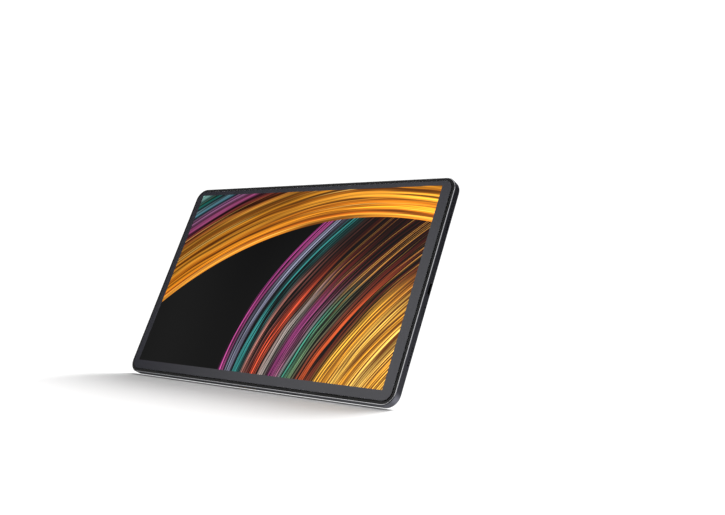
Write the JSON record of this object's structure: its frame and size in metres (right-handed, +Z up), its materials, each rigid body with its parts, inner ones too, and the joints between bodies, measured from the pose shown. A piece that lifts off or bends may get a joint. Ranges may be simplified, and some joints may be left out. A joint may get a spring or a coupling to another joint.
{
  "type": "tablet computer",
  "caption": "Slim eleven-inch tablet: metal shell with a two-tone back, glass display, sprung side keys, sliding card tray and a docking edge.",
  "frame": {"origin": "middle of the long edge that the tablet stands on in landscape, at the centre of its box", "axes": "+X along the long side, to the right as the screen is read; -Y out of the screen; +Z up the screen"},
  "size_m": [0.2587, 0.0087, 0.1634],
  "materials": {
    "anodised_metal": "satin anodised",
    "antenna_cover_skin": "matte",
    "black_plastic": "moulded",
    "key_metal": "satin anodised",
    "chassis_sheet": "stamped sheet",
    "bracket_steel": "sheet",
    "cover_glass": "polished",
    "bezel_ink": "printed",
    "adhesive": "foam tape",
    "clear_adhesive": "clear",
    "display": "lit panel",
    "flex_polyimide": "film",
    "circuit_board": "solder mask",
    "shield_steel": "tinned",
    "thermal_pad": "soft",
    "battery_foil": "laminated pouch",
    "camera_trim": "diamond cut",
    "camera_parts": "black",
    "lens_glass": "coated",
    "flash_lens": "diffusing",
    "gold_contact": "gold plated",
    "magnet_nickel": "nickel plated",
    "screw_steel": "black zinc",
    "seal_rubber": "silicone"
  },
  "bodies": {
    "tablet": {"antenna_cover": "antenna_cover_skin", "antenna_flexes": "flex_polyimide", "backlight_tray": "black_plastic", "battery_adhesive": "adhesive", "battery_board": "circuit_board", "battery_cell_left": "battery_foil", "battery_cell_right": "battery_foil", "bezel_mask": "bezel_ink", "board_link_flex": "flex_polyimide", "board_screws": "screw_steel", "camera_glass": "lens_glass", "camera_module": "camera_parts", "camera_ring": "camera_trim", "card_reader": "bracket_steel", "chassis_plate": "chassis_sheet", "chassis_screws": "screw_steel", "cover_glass": "cover_glass", "display_flex": "flex_polyimide", "display_panel": "display", "dock_magnets": "magnet_nickel", "dock_slot_liners": "black_plastic", "flash_led": "circuit_board", "flash_lens": "flash_lens", "front_camera": "camera_parts", "glass_adhesive": "adhesive", "key_brackets": "bracket_steel", "led_strip": "flex_polyimide", "lens_barrel": "camera_parts", "lens_element": "lens_glass", "lever_pin": "bracket_steel", "light_guide": "clear_adhesive", "light_sensor": "circuit_board", "mainboard": "circuit_board", "microphones": "shield_steel", "mid_frame": "black_plastic", "optical_adhesive": "clear_adhesive", "optical_films": "clear_adhesive", "pogo_carrier": "black_plastic", "pogo_contacts": "gold_contact", "rear_housing": "anodised_metal", "shield_cans": "shield_steel", "side_key_flex": "flex_polyimide", "side_key_switches": "shield_steel", "speaker_left_lower": "black_plastic", "speaker_left_upper": "black_plastic", "speaker_meshes": "shield_steel", "speaker_right_lower": "black_plastic", "speaker_right_upper": "black_plastic", "sub_board": "circuit_board", "thermal_pads": "thermal_pad", "usb_gasket": "seal_rubber", "usb_shell": "shield_steel", "usb_tongue": "black_plastic"},
    "power_button": {"power_button": "key_metal"},
    "volume_rocker": {"volume_rocker": "key_metal"},
    "card_tray": {"card_tray": "key_metal", "tray_seal": "seal_rubber"},
    "eject_rod": {"eject_rod": "bracket_steel"},
    "eject_lever": {"eject_lever": "bracket_steel"}
  },
  "joints": [
    {"name": "power_button_press", "type": "slide", "parent": "tablet", "child": "power_button", "axis": [1, 0, 0], "range_m": [0, 0.0003], "stiffness_N_per_m": 3000, "springref_m": -0.0001},
    {"name": "volume_rocker_tilt", "type": "hinge", "parent": "tablet", "child": "volume_rocker", "pos_m": [-0.095, 0.00065, 0.1611], "axis": [0, -1, 0], "range_deg": [-1.2, 1.2], "stiffness_Nm_per_rad": 0.8},
    {"name": "card_tray_slide", "type": "slide", "parent": "tablet", "child": "card_tray", "axis": [1, 0, 0], "range_m": [0, 0.028]},
    {"name": "eject_rod_push", "type": "slide", "parent": "tablet", "child": "eject_rod", "axis": [-1, 0, 0], "range_m": [0, 0.0012]},
    {"name": "eject_lever_swing", "type": "hinge", "parent": "tablet", "child": "eject_lever", "pos_m": [0.0973, 0.00065, 0.0638], "axis": [0, -1, 0], "range_deg": [0, 14]}
  ],
  "couplings": [
    {"joint": "eject_lever_swing", "follows": "eject_rod_push", "rad_per_m": 200}
  ]
}
